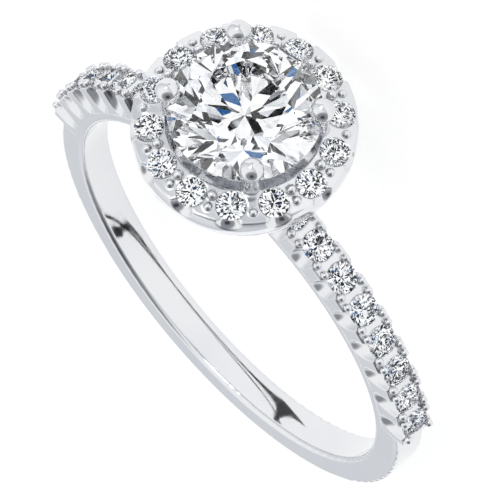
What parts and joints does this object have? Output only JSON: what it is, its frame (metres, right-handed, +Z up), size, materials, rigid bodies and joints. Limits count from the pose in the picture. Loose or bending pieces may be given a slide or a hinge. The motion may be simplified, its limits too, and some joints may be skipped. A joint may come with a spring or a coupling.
{
  "type": "halo ring",
  "caption": "Halo ring: narrow band with stone-set shoulders, and a round centre stone in four prongs over a cup-shaped halo of small round stones. It lies on its side.",
  "frame": {"origin": "the middle of the finger hole, on its axis", "axes": "+Z up with the ring lying on its side; +Y across the ring towards the centre stone; +X across the ring, at right angles to the finger hole's axis"},
  "size_m": [0.0212, 0.0264, 0.009],
  "materials": {
    "white_metal": "polished",
    "clear_stone": "faceted"
  },
  "bodies": {
    "root": {"ring_metal": "white_metal", "centre_stone": "clear_stone", "halo_stone_1": "clear_stone", "halo_stone_2": "clear_stone", "halo_stone_3": "clear_stone", "halo_stone_4": "clear_stone", "halo_stone_5": "clear_stone", "halo_stone_6": "clear_stone", "halo_stone_7": "clear_stone", "halo_stone_8": "clear_stone", "halo_stone_9": "clear_stone", "halo_stone_10": "clear_stone", "halo_stone_11": "clear_stone", "halo_stone_12": "clear_stone", "halo_stone_13": "clear_stone", "halo_stone_14": "clear_stone", "right_stone_1": "clear_stone", "right_stone_2": "clear_stone", "right_stone_3": "clear_stone", "right_stone_4": "clear_stone", "right_stone_5": "clear_stone", "right_stone_6": "clear_stone", "right_stone_7": "clear_stone", "right_stone_8": "clear_stone", "left_stone_1": "clear_stone", "left_stone_2": "clear_stone", "left_stone_3": "clear_stone", "left_stone_4": "clear_stone", "left_stone_5": "clear_stone", "left_stone_6": "clear_stone", "left_stone_7": "clear_stone", "left_stone_8": "clear_stone"}
  },
  "joints": []
}
